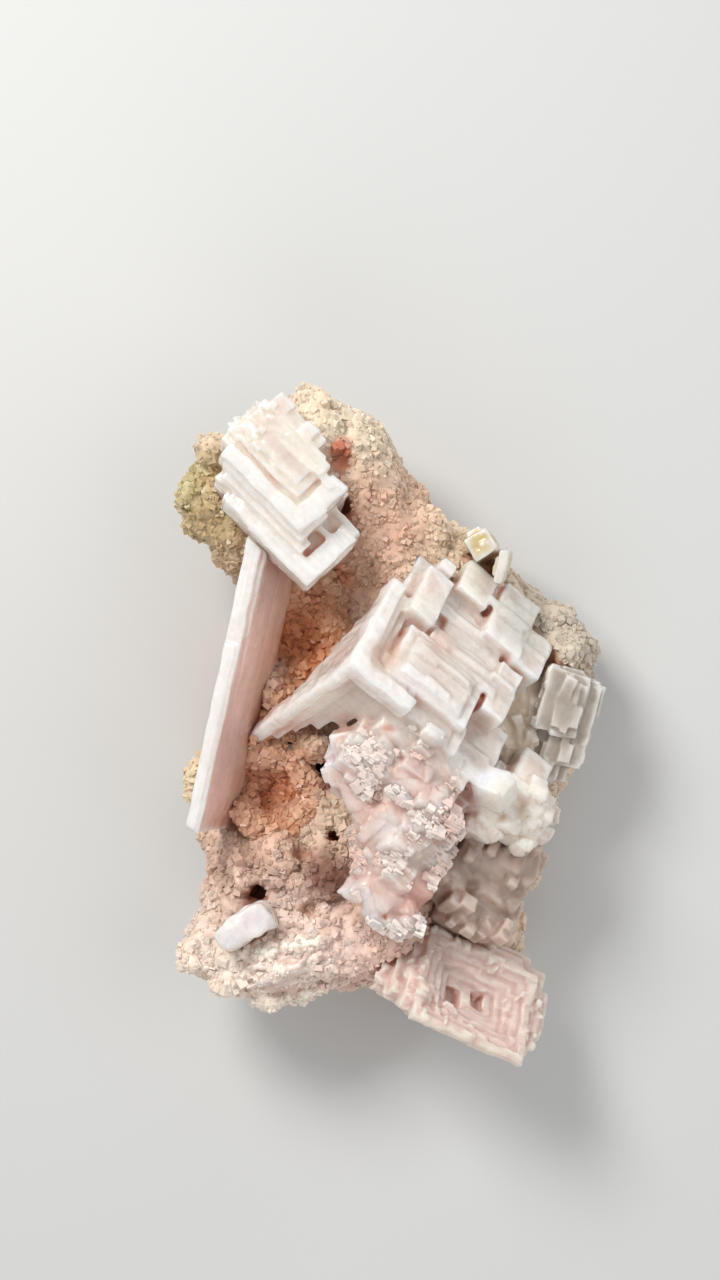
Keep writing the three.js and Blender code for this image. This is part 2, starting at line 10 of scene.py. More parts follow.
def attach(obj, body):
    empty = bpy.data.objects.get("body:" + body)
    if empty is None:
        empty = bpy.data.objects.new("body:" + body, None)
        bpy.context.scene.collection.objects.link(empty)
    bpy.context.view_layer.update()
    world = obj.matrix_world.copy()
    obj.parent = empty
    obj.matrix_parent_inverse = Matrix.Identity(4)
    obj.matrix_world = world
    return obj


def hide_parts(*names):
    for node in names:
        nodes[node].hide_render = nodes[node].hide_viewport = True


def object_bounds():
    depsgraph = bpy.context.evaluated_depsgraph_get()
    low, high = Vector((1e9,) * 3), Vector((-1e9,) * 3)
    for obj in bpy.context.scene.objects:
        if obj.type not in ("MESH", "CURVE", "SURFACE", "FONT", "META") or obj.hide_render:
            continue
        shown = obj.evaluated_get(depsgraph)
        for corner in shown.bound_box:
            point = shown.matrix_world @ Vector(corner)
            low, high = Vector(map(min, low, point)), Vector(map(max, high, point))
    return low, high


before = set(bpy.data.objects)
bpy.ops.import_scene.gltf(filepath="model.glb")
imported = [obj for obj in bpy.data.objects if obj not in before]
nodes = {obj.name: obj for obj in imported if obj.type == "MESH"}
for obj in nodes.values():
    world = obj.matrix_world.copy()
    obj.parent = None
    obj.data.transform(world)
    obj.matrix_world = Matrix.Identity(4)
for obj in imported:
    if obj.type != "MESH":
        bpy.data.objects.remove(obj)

cad_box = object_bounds()
MM = 0.001
SEED = 11
rng = np.random.default_rng(SEED)

# ---------- Driving values ----------

CRYSTAL_VOXEL = 0.22  # how finely each skin is meshed
MAIN_VOXEL = 0.25
MATRIX_VOXEL = 0.58
CRUST_VOXEL = 0.5
KEPT = 0.58  # share of a crystal's triangles that is kept
MERGE_ROUNDS = 90  # rounds of smoothing that run blocks together
PLATE_ROOT = 0.6  # how deep a growth plate is set in its face
PLATE_INSET = 0.25  # how far below the face its corners have to be inside the crystal
RIM = 3.0  # width of the main crystal's rims
BLADE_TOP = 34.0  # height just above the side blade's upper rim
BEIGE_WEIGHT = 0.15  # what the matrix's own colour counts for where one zone's colour counts 1
SHELTER_CELL = 0.9  # points this near to each other share one look at the sky
SHELTER_REACH = 10.0  # what is farther away than this shelters nothing
SHELTER_START = 0.5  # height above the skin at which each look starts
CAMERA = {"place": (-5.42, 14.69, 410), "lens": 64.77}


def colour(red, green, blue):
    """An sRGB colour of 0 to 255 as linear values."""
    value = np.array([red, green, blue]) / 255
    return np.where(value < 0.04, value / 12.92, ((value + 0.055) / 1.055) ** 2.4)


WHITE = colour(245, 239, 235)
BAND = colour(245, 239, 234)
CREAM = colour(236, 224, 208)
# peach: painted shade and glow in the crystals' recesses
BLUSH_SHADE = colour(232, 208, 198)
# blush: painted shade in the white stub's recesses
PEACH_SHADE = colour(224, 172, 150)
# beige: the matrix's own colour, and the painted shade in the recesses of the rim crystals and cavity prism
BEIGE = colour(226, 202, 178)

# ---------- Noise ----------


def hashed(cells, salt):
    """One number from 0 to 1 for each whole-numbered cell."""
    value = np.sin(cells @ np.array([127.1, 311.7, 74.7]) + salt * 17.3) * 43758.5453
    return value - np.floor(value)


def noise(points, scale, salt=0):
    """Smooth noise from -1 to 1 with a knot every scale, which may be one length or one for each axis."""
    spot = points / scale
    base = np.floor(spot)
    share = spot - base
    share = share * share * (3 - 2 * share)
    total = np.zeros(len(points))
    for corner in itertools.product((0, 1), repeat=3):
        weight = np.prod(np.where(corner, share, 1 - share), axis=1)
        total += weight * (2 * hashed(base + corner, salt) - 1)
    return total


def drift(points, scale, salt):
    """Smooth noise as a vector for each point."""
    return np.stack([noise(points, scale, salt + n) for n in range(3)], axis=1)


def pebbles(points, scale, salt=0):
    """Height from 0 to 1 of packed round grains of that size, and a random number for each grain."""
    spot = points / scale
    base = np.floor(spot)
    nearest = np.full(len(points), 9.0)
    label = np.zeros(len(points))
    for step in itertools.product((-1, 0, 1), repeat=3):
        cell = base + step
        seed = cell + np.stack([hashed(cell, salt + n) for n in (1, 2, 3)], axis=1)
        far = np.linalg.norm(spot - seed, axis=1)
        closer = far < nearest
        nearest = np.where(closer, far, nearest)
        label = np.where(closer, hashed(cell, salt + 4), label)
    return np.clip(1 - nearest**2, 0, 1), label


def lumps(points, layers):
    """How far packed grains of (size, amount, salt) stand out."""
    height = np.zeros(len(points))
    for size, amount, salt in layers:
        bent = points + 0.35 * size * drift(points, size, salt + 5)
        bumps, label = pebbles(bent, size, salt)
        height += amount * (bumps * (0.5 + label) - 0.45)
    return height


# ---------- Meshes as arrays ----------


class Shape:
    """Vertices in millimetres and triangles."""

    def __init__(self, points, faces):
        self.points = np.asarray(points, float)
        self.faces = np.asarray(faces, int)

    def moved(self, matrix):
        m = np.array(matrix)
        return Shape(self.points @ m[:3, :3].T + m[:3, 3], self.faces)

    def joined(self, others):
        points, faces, count = [self.points], [self.faces], len(self.points)
        for other in others:
            points.append(other.points)
            faces.append(other.faces + count)
            count += len(other.points)
        return Shape(np.vstack(points), np.vstack(faces))

    def face_normals(self):
        a, b, c = (self.points[self.faces[:, k]] for k in range(3))
        return np.cross(b - a, c - a) / 2

    def normals(self):
        total = np.zeros_like(self.points)
        of_face = self.face_normals()
        for k in range(3):
            for axis in range(3):
                total[:, axis] += np.bincount(self.faces[:, k], of_face[:, axis], len(self.points))
        return total / np.maximum(np.linalg.norm(total, axis=1, keepdims=True), 1e-12)

    def smoothed(self, rounds, strength=0.6):
        """The points after each has moved towards its neighbours that many times."""
        pairs = np.vstack([self.faces[:, [0, 1]], self.faces[:, [1, 2]], self.faces[:, [2, 0]]])
        ends, starts = pairs[:, 0], pairs[:, 1]
        count = np.maximum(np.bincount(ends, minlength=len(self.points)), 1)[:, None]
        points = self.points.copy()
        for _ in range(rounds):
            near_it = points[starts]
            total = [np.bincount(ends, near_it[:, axis], len(points)) for axis in range(3)]
            points += strength * (np.stack(total, axis=1) / count - points)
        return points

    def bulge(self, rounds):
        """How far each point stands out of its surroundings: negative in a hollow."""
        return np.sum((self.points - self.smoothed(rounds)) * self.normals(), axis=1)


def together(shapes):
    """Several shapes as one."""
    return shapes[0].joined(shapes[1:])


def shape_of(mesh):
    """A mesh as a Shape, in the mesh's own units."""
    mesh.calc_loop_triangles()
    points = np.empty(len(mesh.vertices) * 3)
    faces = np.empty(len(mesh.loop_triangles) * 3, dtype=np.int32)
    mesh.vertices.foreach_get("co", points)
    mesh.loop_triangles.foreach_get("vertices", faces)
    return Shape(points.reshape(-1, 3), faces.reshape(-1, 3))


def node_shape(name):
    """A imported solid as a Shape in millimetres."""
    shape = shape_of(nodes[name].data)
    return Shape(shape.points / MM, shape.faces)


def tree_of(shape):
    """The shape as a tree that rays and places can be tested against."""
    return BVHTree.FromPolygons(shape.points.tolist(), shape.faces.tolist())


def mesh_of(name, shape, scale=MM):
    """A Shape as a mesh, in metres unless another scale is given."""
    mesh = bpy.data.meshes.new(name)
    mesh.from_pydata((shape.points * scale).tolist(), [], shape.faces.tolist())
    return mesh


def skin(shape, voxel):
    """One closed skin over everything in the shape."""
    piece = bpy.data.objects.new("work", mesh_of("work", shape, 1))
    bpy.context.collection.objects.link(piece)
    remesh = piece.modifiers.new("remesh", "REMESH")
    remesh.mode = "VOXEL"
    remesh.voxel_size = voxel
    made = piece.evaluated_get(bpy.context.evaluated_depsgraph_get()).to_mesh()
    result = shape_of(made)
    bpy.data.objects.remove(piece)
    return result


def thinned(mesh, kept):
    """The mesh with only a share of its triangles, most of them where it bends."""
    work = bpy.data.objects.new("work", mesh)
    bpy.context.collection.objects.link(work)
    work.modifiers.new("thin", "DECIMATE").ratio = kept
    result = bpy.data.meshes.new_from_object(work.evaluated_get(bpy.context.evaluated_depsgraph_get()))
    bpy.data.objects.remove(work)
    return result


def piece_of(name, shape, tint, material, slot, own=None, replaces=(), smooth=True):
    """An object of the specimen, with its tint. A crystal also has its own coordinates for growth lines."""
    mesh = mesh_of(name, shape)
    mesh.polygons.foreach_set("use_smooth", [smooth] * len(mesh.polygons))
    stained = mesh.attributes.new("tint", "FLOAT_COLOR", "POINT")
    stained.data.foreach_set("color", np.hstack([np.clip(tint, 0, 1), np.ones((len(tint), 1))]).ravel())
    if own is not None:
        places = mesh.attributes.new("own", "FLOAT_VECTOR", "POINT")
        places.data.foreach_set("vector", own.ravel())
        mesh = thinned(mesh, KEPT)
    piece = bpy.data.objects.new(name, mesh)
    bpy.context.collection.objects.link(piece)
    mesh.materials.append(material)
    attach(piece, "root")
    if replaces:
        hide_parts(*replaces)
    return piece


BOX_POINTS = np.array(list(itertools.product((-0.5, 0.5), repeat=3)))
BOX_SIDES = [(0, 1, 3, 2), (4, 6, 7, 5), (0, 4, 5, 1), (2, 3, 7, 6), (0, 2, 6, 4), (1, 5, 7, 3)]
BOX_FACES = np.array([face for a, b, c, d in BOX_SIDES for face in ((a, b, c), (a, c, d))])


def box(low, high):
    """The box between two opposite corners."""
    low, high = np.asarray(low, float), np.asarray(high, float)
    return Shape(BOX_POINTS * (high - low) + (low + high) / 2, BOX_FACES)


def mix(a, b, share):
    """From colour a to colour b, by a share for each point."""
    share = np.clip(share, 0, 1)[:, None]
    return a * (1 - share) + b * share


def mix_one(a, b, share):
    """From colour a to colour b, by one share."""
    return a * (1 - share) + b * share


def ramp(value, low, high):
    """0 below low, 1 above high, smooth between."""
    t = np.clip((value - low) / (high - low), 0, 1)
    return t * t * (3 - 2 * t)


def oval(points, x, y, wide, long):
    """1 in the middle of an oval in plan, 0 on its edge and less outside it."""
    return 1 - ((points[:, 0] - x) / wide) ** 2 - ((points[:, 1] - y) / long) ** 2


def near(points, x, y, radius, width=0.4):
    """1 within a radius of a place in plan, falling to 0 over a share of it."""
    reach = np.hypot(points[:, 0] - x, points[:, 1] - y) / radius
    return ramp(1 - reach, 0, width)


def near_any(points, places):
    """1 near to any of the places, each its middle in plan and its reach."""
    return np.maximum.reduce([near(points, *place) for place in places])


# ---------- Shelter, for painted shade ---

solids = tree_of(together([node_shape(name) for name in nodes]))


def sky_directions(count):
    """Directions spread evenly over a ball."""
    n = np.arange(count) + 0.5
    z = 1 - 2 * n / count
    angle = n * math.pi * (1 + 5**0.5)
    flat = np.sqrt(1 - z * z)
    return [Vector(v) for v in np.stack([flat * np.cos(angle), flat * np.sin(angle), z], 1)]


SKY = sky_directions(40)


def shelter(shape):
    """How much the solids shut each point in: 0 in the open, 1 deep in a hole."""
    normals = shape.normals()
    keys = np.hstack([np.floor(shape.points / SHELTER_CELL), np.round(normals * 1.2)])
    _, first, inverse = np.unique(keys, axis=0, return_index=True, return_inverse=True)
    shut = np.zeros(len(first))
    for n, k in enumerate(first):
        up = Vector(normals[k])
        start = Vector(shape.points[k]) + up * SHELTER_START
        total = 0.0
        for way in SKY:
            slope = way.dot(up)
            if slope < 0.1:
                continue
            total += slope
            far = solids.ray_cast(start, way, SHELTER_REACH)[3]
            if far is not None:
                shut[n] += slope * (1 - far / SHELTER_REACH)
        shut[n] /= total
    values = Shape(np.repeat(shut[inverse.reshape(-1)][:, None], 3, axis=1), shape.faces)
    return values.smoothed(6, 0.7)[:, 0]


# ---------- Materials ----------


def add(tree, kind, **inputs):
    """A shader node with some inputs set or linked. Base_Color is its input Base Color, _0 its first one."""
    made = tree.nodes.new(kind)
    for name, value in inputs.items():
        socket = made.inputs[int(name[1:])] if name[0] == "_" else made.inputs[name.replace("_", " ")]
        if isinstance(value, bpy.types.NodeSocket):
            tree.links.new(value, socket)
        else:
            socket.default_value = value
    return made


def grey_noise(tree, **inputs):
    """The grey value of a noise texture."""
    return add(tree, "ShaderNodeTexNoise", **inputs).outputs["Fac"]


def spread(tree, value, low, high):
    """A noise value turned into a number from low to high."""
    limits = {"From_Min": 0.3, "From_Max": 0.7, "To_Min": low, "To_Max": high}
    return add(tree, "ShaderNodeMapRange", Value=value, **limits).outputs[0]


def times(tree, a, b):
    """The product of two colours or vectors."""
    made = add(tree, "ShaderNodeVectorMath", _0=a, _1=b)
    made.operation = "MULTIPLY"
    return made.outputs[0]


def bumped(tree, height, strength, distance, **normal):
    """A normal that a height has raised, on top of the Normal that is given, if any."""
    reach = distance * MM
    return add(tree, "ShaderNodeBump", Strength=strength, Distance=reach, Height=height, **normal).outputs[0]


def mineral(
    name, roughness, see_through=0.0, glow=0.0, depth=1.8, grain=0.5, speckle=0.12, relief=0.3, lines=0.0
):
    """Coloured by its tint, with speckle and relief of one grain size. Its lines follow a crystal's faces."""
    material = bpy.data.materials.new(name)
    material.use_nodes = True
    tree = material.node_tree
    tree.nodes.clear()
    tint = add(tree, "ShaderNodeAttribute")
    tint.attribute_name = "tint"
    place = add(tree, "ShaderNodeTexCoord").outputs["Object"]
    often = 1 / (grain * MM)
    fine = grey_noise(tree, Vector=place, Scale=often, Detail=3.0, Roughness=0.6)
    coarse = grey_noise(tree, Vector=place, Scale=often / 4, Detail=2.0)
    shade = times(tree, tint.outputs["Color"], spread(tree, fine, 1 - speckle, 1 + speckle))
    gloss = spread(tree, coarse, roughness * 0.75, min(1.0, roughness * 1.3))
    normal = bumped(tree, fine, relief, 0.6 * grain)
    if lines:
        own = add(tree, "ShaderNodeAttribute")
        own.attribute_name = "own"
        drawn = times(tree, own.outputs["Vector"], (0.03, 1.5, 1.5))
        streaks = grey_noise(tree, Vector=drawn, Scale=1.0, Detail=4.0, Roughness=0.7)
        shade = times(tree, shade, spread(tree, streaks, 1 - 0.3 * lines, 1 + 0.12 * lines))
        normal = bumped(tree, streaks, lines, 0.2, Normal=normal)
        sheets = times(tree, own.outputs["Vector"], (0.13, 0.5, 0.5))
        cells = add(tree, "ShaderNodeTexVoronoi", Vector=sheets, Scale=1.0)
        cells.distance = "CHEBYCHEV"
        tone = add(tree, "ShaderNodeSeparateColor", Color=cells.outputs["Color"]).outputs[0]
        shade = times(tree, shade, spread(tree, tone, 1 - 0.16 * lines, 1 + 0.08 * lines))
        normal = bumped(tree, tone, lines, 0.25, Normal=normal)
    shader = add(
        tree,
        "ShaderNodeBsdfPrincipled",
        Base_Color=shade,
        Roughness=gloss,
        Normal=normal,
        IOR=1.54,
        Transmission_Weight=see_through,
        Subsurface_Weight=glow,
        Subsurface_Scale=depth * MM,
        Subsurface_Radius=(1.0, 0.84, 0.76),
    )
    add(tree, "ShaderNodeOutputMaterial", Surface=shader.outputs[0])
    return material


# ---------- Studio ----------


def studio():
    """The camera, the lights, the world and the floor."""
    scene = bpy.context.scene
    low, high = (np.array(c) / MM for c in cad_box)
    middle = (low + high) / 2

    lens = bpy.data.cameras.new("camera")
    lens.lens = CAMERA["lens"]
    lens.clip_start, lens.clip_end = 0.01, 10
    camera = bpy.data.objects.new("camera", lens)
    camera.location = Vector(CAMERA["place"]) * MM
    scene.collection.objects.link(camera)
    scene.camera = camera

    def light(name, place, size, power, tone):
        lamp = bpy.data.lights.new(name, "AREA")
        lamp.size, lamp.energy, lamp.color = size * MM, power, tone
        thing = bpy.data.objects.new(name, lamp)
        thing.location = Vector(place) * MM
        thing.rotation_euler = (Vector(middle) - Vector(place)).to_track_quat("-Z", "Y").to_euler()
        scene.collection.objects.link(thing)

    light("key", (-240, 310, 400), 200, 2.6, (1.0, 0.985, 0.96))
    light("fill", (360, 0, 400), 420, 0.7, (0.95, 0.97, 1.0))
    light("front", (-60, -400, 300), 420, 0.7, (1.0, 0.98, 0.96))
    light("sheen", (520, 380, 140), 260, 0.7, (0.96, 0.98, 1.0))

    world = bpy.data.worlds.new("studio")
    world.use_nodes = True
    sky = world.node_tree.nodes["Background"].inputs
    sky["Color"].default_value = (0.86, 0.88, 0.9, 1)
    sky["Strength"].default_value = 0.35
    scene.world = world
    scene.view_settings.view_transform = "Standard"

    wide = 1500
    corners = [[-wide, -wide, 0], [wide, -wide, 0], [wide, wide, 0], [-wide, wide, 0]]
    ground = Shape(corners, [[0, 1, 2], [0, 2, 3]])
    floor = bpy.data.objects.new("floor", mesh_of("floor", ground))
    floor.location.z = low[2] * MM
    scene.collection.objects.link(floor)
    paper = bpy.data.materials.new("paper")
    paper.use_nodes = True
    coat = paper.node_tree.nodes["Principled BSDF"].inputs
    coat["Base Color"].default_value = (0.62, 0.62, 0.61, 1)
    coat["Roughness"].default_value = 0.8
    floor.data.materials.append(paper)


# ---------- Crystals ----------

ONE_WAY = 0.999  # above this cosine two faces look the same way
SQUARE = 0.02  # below this one they are at right angles


def axes_of(shape):
    """A crystal's own axes, from the directions that most of its faces look in, at its highest point."""
    normals = shape.face_normals()
    areas = np.linalg.norm(normals, axis=1)
    units = normals / np.maximum(areas, 1e-12)[:, None]

    def area_along(face):
        return areas[np.abs(units @ units[face]) > ONE_WAY].sum()

    def leading(allowed):
        largest = np.flatnonzero(allowed)[np.argsort(areas[allowed])[-40:]]
        return units[max(largest, key=area_along)]

    first = leading(np.ones(len(areas), bool))
    second = leading(np.abs(units @ first) < SQUARE)
    second = second - first * (first @ second)
    second /= np.linalg.norm(second)
    third = np.cross(first, second)
    matrix = np.eye(4)
    matrix[:3, :3] = np.stack([first, second, third], axis=1)
    matrix[:3, 3] = shape.points[np.argmax(shape.points[:, 2])]
    return Matrix(matrix.tolist())


def aligned(shape, directions):
    """The same axes in a given order: each of the crystal's axes is the one nearest to a direction."""
    matrix = axes_of(shape)
    columns = [np.array(matrix.col[k][:3]) for k in range(3)]
    chosen = []
    for wanted in directions:
        best = max(columns, key=lambda c: abs(c @ np.array(wanted)))
        chosen.append(best * np.sign(best @ np.array(wanted)))
        columns = [c for c in columns if c is not best]
    chosen.append(np.cross(chosen[0], chosen[1]))
    result = np.eye(4)
    result[:3, :3] = np.stack(chosen, axis=1)
    result[:3, 3] = np.array(matrix.col[3][:3])
    return Matrix(result.tolist())


def growth_steps(local, grain, count, long, wide, rise, where=None, tilt=0.0, levels=(0, 1, 2)):
    """Small plates on the faces of a crystal, parallel to its own axes and never past the edge of their
    face. grain gives, for places and the axis that their face looks along, the axis that the plates run
    along."""
    tree = tree_of(local)
    normals = local.face_normals()
    areas = np.linalg.norm(normals, axis=1)
    share = areas * np.isin(np.argmax(np.abs(normals), axis=1), levels)
    if where is not None:
        share *= where(local.points[local.faces].mean(axis=1))
    picked = rng.choice(len(areas), count, p=share / share.sum())
    weights = rng.dirichlet((1, 1, 1), count)
    spots = np.einsum("nk,nkj->nj", weights, local.points[local.faces[picked]])

    def inside(point):
        nearest, normal, _, _ = tree.find_nearest(Vector(point))
        return (Vector(point) - nearest).dot(normal) < 0

    plates = []
    for spot, face in zip(spots, picked):
        up = normals[face] / areas[face]  # level is the axis that the face looks along
        level = int(np.argmax(np.abs(up)))
        first = int(grain(spot[None], np.array([level]))[0])
        second = 3 - level - first
        half = np.zeros(3)
        half[first], half[second] = rng.uniform(*long) / 2, rng.uniform(*wide) / 2
        for _ in range(4):
            sides = itertools.product((-1, 1), repeat=3)
            if all(inside(spot + half * signs - up * PLATE_INSET) for signs in sides):
                break
            half *= 0.6  # a plate that passes the edge of its face is tried again smaller
        else:
            continue
        height = rng.uniform(*rise)
        half[level] = (height + PLATE_ROOT) / 2
        middle = spot + up * (height - PLATE_ROOT) / 2
        plate = box(middle - half, middle + half)
        if tilt:
            turn = Matrix.Rotation(math.radians(rng.normal() * tilt), 3, Vector(rng.normal(size=3)))
            plate.points = (plate.points - middle) @ np.array(turn).T + middle
        plates.append(plate)
    return plates


def along(*axes):
    """A grain that depends only on the axis that a face looks along."""
    return lambda places, level: np.array(axes)[level]


def rods(surface, count, thick, length, where, tilt=6.0):
    """Small crystals that grow on a surface, longest along Y and nearly parallel to each other."""
    normals = surface.face_normals()
    share = np.linalg.norm(normals, axis=1) * where(surface.points[surface.faces].mean(axis=1))
    picked = rng.choice(len(share), count, p=share / share.sum())
    made = []
    for spot in surface.points[surface.faces[picked, 0]]:
        width = rng.uniform(*thick)
        size = width * np.array([rng.uniform(0.7, 1.4), rng.uniform(*length), rng.uniform(0.7, 1.4)])
        turn = Matrix.Rotation(math.radians(rng.normal() * tilt), 3, Vector(rng.normal(size=3)))
        made.append(Shape((BOX_POINTS * size) @ np.array(turn).T + spot, BOX_FACES))
    return made


def grown(
    name, directions, plates, grain,
    merge=None, sprinkle=(), lumpy=None, soften=1, bend=0.18, voxel=CRYSTAL_VOXEL,
):
    """The finished skin of a crystal in the specimen's frame, and where each point is along its growth lines.
    Where merge is above 0 its blocks run together, and the sprinkled rods then grow on what is left. It
    swells in lumps where lumpy is above 0."""
    shape = node_shape(name)
    to_part = aligned(shape, directions)
    local = shape.moved(to_part.inverted())
    steps = [plate for layer in plates for plate in growth_steps(local, grain, **layer)]
    own = skin(local.joined(steps), voxel)
    if merge is not None:
        share = merge(own.moved(to_part).points)[:, None]
        own.points += share * (own.smoothed(MERGE_ROUNDS) - own.points)

    def in_part(where):
        return lambda places: where(Shape(places, own.faces).moved(to_part).points)

    if sprinkle:
        layers = [rods(own, **{**layer, "where": in_part(layer["where"])}) for layer in sprinkle]
        own = skin(own.joined(itertools.chain(*layers)), voxel)
    own.points = own.smoothed(soften, 0.3)
    if lumpy is not None:
        height = lumpy(own.moved(to_part).points) * lumps(own.points, [(5.0, 0.7, 81)])
        own.points = own.points + own.normals() * height[:, None]
    level = np.argmax(np.abs(own.normals()), axis=1)
    first = grain(own.points, level)
    rows = np.arange(len(level))
    lined = np.stack([own.points[rows, axis] for axis in (first, 3 - level - first, level)], axis=1)
    own.points = own.points + bend * drift(own.points, 2.6, 91) + 0.3 * bend * drift(own.points, 1.1, 95)
    return own.moved(to_part), lined


def crystal_tint(shape, base, edge, recess_shade):
    """The base colour, whiter along the edges that stand out (partly the crystal's frosted white, partly
    painted highlight), with painted shade and glow of the recess colour where the crystal is shut in.
    """
    # partly the crystal's own frosted white, partly painted highlight: whiter along edges that stand out
    rim = np.maximum(0.35 * ramp(shape.bulge(10), 0.01, 0.12), ramp(shape.bulge(70), 0.03, 0.36))
    rim *= (0.8 + 0.2 * noise(shape.points, 3.2, 27)) * (1 - 0.6 * pink_share(shape.points))
    # painted shade and glow: towards the recess colour where the solids shut the crystal in
    tint = mix(base, recess_shade, 0.8 * ramp(shelter(shape), 0.12, 0.7))
    return mix(tint, edge, rim)


def crystal(
    piece_name, node, directions, plates, grain, material, slot, base, recess_shade, edge=WHITE, finish=None, **more
):
    """A finished crystal in place of its solid. base is one colour or gives one for each point; the colour
    after it is painted shade and glow where the crystal is shut in.
    """
    shape, lined = grown(node, directions, plates, grain, **more)
    local = shape.moved(aligned(node_shape(node), directions).inverted())
    colours = base(shape.points, local.points) if callable(base) else np.tile(base, (len(shape.points), 1))
    tint = crystal_tint(shape, colours, edge, recess_shade)
    if finish is not None:
        tint = finish(shape, tint)
    piece_of(piece_name, shape, tint, material, slot, lined, [node])
    return shape


# Directions of each crystal's X and Y.
MAIN_AXES = [(0.356, 0.686, -0.634), (0.756, -0.61, -0.237)]
TOP_AXES = [(0.7, 0.66, -0.28), (-0.68, 0.735, -0.12)]
CORNER_AXES = [(0.867, -0.432, -0.249), (0.208, 0.767, -0.606)]


def anywhere(points):
    """1 for every point."""
    return np.ones(len(points))


def crumbs(points):
    """Where the small crystals of the corner hopper grow."""
    return ramp(noise(points, 4, 43), 0.0, 0.3) + 1e-6


def main_grain(places, level):
    """The lines run along each rim, into the depth on the walls and along Y on the rest of its face."""
    on_top = np.where(places[:, 1] < RIM, 0, 1)
    return np.where(level == 2, on_top, 2)


def behind_rims(places):
    """Past the two rims that border the stepped face."""
    return (places[:, 1] > RIM) & (places[:, 0] > RIM)


# Places on the main crystal: their middle in plan and their reach.
# the cube's bluish white is partly painted reflection
SHEEN_CUBE = (16.6, -9.6, 4.4)
CREAM_CRUST = (20.4, -14, 8.5)
CORNER_PIT = (-1.3, 12.2, 4.6)
SMOOTH_PLATE = [(-11, -8, 5), (-8, -14, 4.5)]

# Ovals in plan: their middle, then half their width and half their length.
PINK_GROWTH = (0.5, -16, 12, 18)
PINK_CRUST = (20, -15, 9, 6.5)
BLADED_FAN = (21.5, -1, 5.5, 10)


def pink_patches(points):
    """Where small crystals stand on the pink growth. Between them and on its left plate it's smooth."""
    patches = ramp(noise(points, 3.6, 37), -0.25, 0.3)
    return pink_share(points) * patches * (1 - near_any(points, SMOOTH_PLATE))


def pink_share(points):
    """1 in the sugary growth below the main crystal, 0 outside it."""
    inside = np.maximum(oval(points, *PINK_GROWTH), oval(points, *PINK_CRUST))
    share = ramp(inside + 0.15 * noise(points, 4, 13), -0.15, 0.25)
    x, y, reach = SHEEN_CUBE
    return share * (1 - near(points, x, y, 1.5 * reach, width=0.15))


def bands(local, *blocks):
    """1 inside any of the blocks, each an extent along the crystal's own axes, with soft edges."""
    share = np.zeros(len(local))
    for low, high in blocks:
        reach = np.maximum(np.array(low) - local, local - np.array(high)).max(axis=1)
        share = np.maximum(share, ramp(-reach, -0.5, 0.3))
    return share


MAIN_WHITE = [  # the three rims, then the outer edge of the front block and of the large block
    ((-1, -1, -1), (21, 3.0, 1.6)),
    ((-1, -1, -1), (2.8, 14, 1.6)),
    ((-1, -1, -1), (2.6, 2.4, 32)),
    ((4, 6, -2), (7, 23, 1.2)),
    ((22.5, 17.5, -2), (25.4, 26, 0.8)),
    ((1, 15, 4), (4, 32, 6.4)),
]


def main_colours(points, local):
    """Clear grey, pink below, with white along its rims."""
    clear_grey = np.tile(colour(231, 220, 210), (len(points), 1))
    lower = ramp(-points[:, 1] - 0.4 * points[:, 0] + 3 * noise(points, 5, 1), -2, 7)
    base = mix(clear_grey, colour(234, 208, 198), lower)
    base = mix(base, colour(226, 188, 174), 0.5 * ramp(noise(points, 4.5, 17), 0.0, 0.5) * lower)
    base = mix(base, colour(228, 206, 194), 0.7 * ramp(noise(points, 6, 19), 0.0, 0.6) * (1 - lower))
    base = mix(base, colour(216, 202, 192), 0.5 * ramp(noise(local, np.array([2.2, 4, 2.2]), 23), 0.1, 0.7))
    return mix(base, BAND, bands(local, *MAIN_WHITE) * (0.85 + 0.15 * noise(points, 3, 29)))


HOPPER_WHITE = [  # both arms of the upper layer, then of the lower one
    ((-1, -1, -3), (12, 3, 1)),
    ((-1, -1, -3), (2.4, 19, 1)),
    ((-5, -7, -7), (8, -3.2, -4)),
    ((-5, -7, -7), (-1.2, 14, -4)),
]


def hopper_colours(points, local):
    """Creamy with pink streaks, and white along its arms."""
    base = np.tile(colour(240, 232, 220), (len(points), 1))
    base = mix(base, colour(230, 212, 202), 0.7 * ramp(noise(local * (1, 0.25, 1), 2.4, 19), 0.0, 0.6))
    return mix(base, BAND, bands(local, *HOPPER_WHITE))


def blade_colours(points, local):
    """White on the rim, then pink, then salmon down its broad face."""
    depth = BLADE_TOP - points[:, 2] + 1.5 * noise(points * (1, 0.2, 1), 3, 33)
    base = mix(np.tile(WHITE, (len(points), 1)), colour(236, 208, 198), ramp(depth, 0.5, 3.5))
    return mix(base, colour(224, 182, 163), ramp(depth, 4, 13))


MAIN_SPOTS = [  # middle in plan, reach, colour
    (-6.7, -29, 6, colour(242, 236, 238)),
    (-0.8, -15.8, 3.6, colour(246, 240, 238)),
    (4.5, -21.6, 4, colour(242, 232, 222)),
    (-11.2, -4.6, 3.6, colour(240, 230, 232)),
    (5, -27.5, 5.5, colour(222, 164, 144)),
    (8, -15.5, 3.4, colour(198, 128, 98)),
    # painted shade and glow: peach in the corner's pit
    (*CORNER_PIT[:2], 3.4, colour(226, 190, 166)),
    (8, 14.5, 4, colour(232, 204, 188)),
    (22.6, 18, 8, colour(208, 205, 196)),
    (-12.8, 4.8, 6.5, colour(252, 243, 235)),
    (13.9, 25.9, 5.5, colour(246, 240, 226)),
    (4.5, 19.5, 4.5, colour(242, 236, 226)),
]


def main_merge(points):
    """Where the blocks of the main crystal run together: in the pink growth and in the corner's pit."""
    return np.maximum(0.8 * pink_share(points), 0.7 * near(points, *CORNER_PIT))


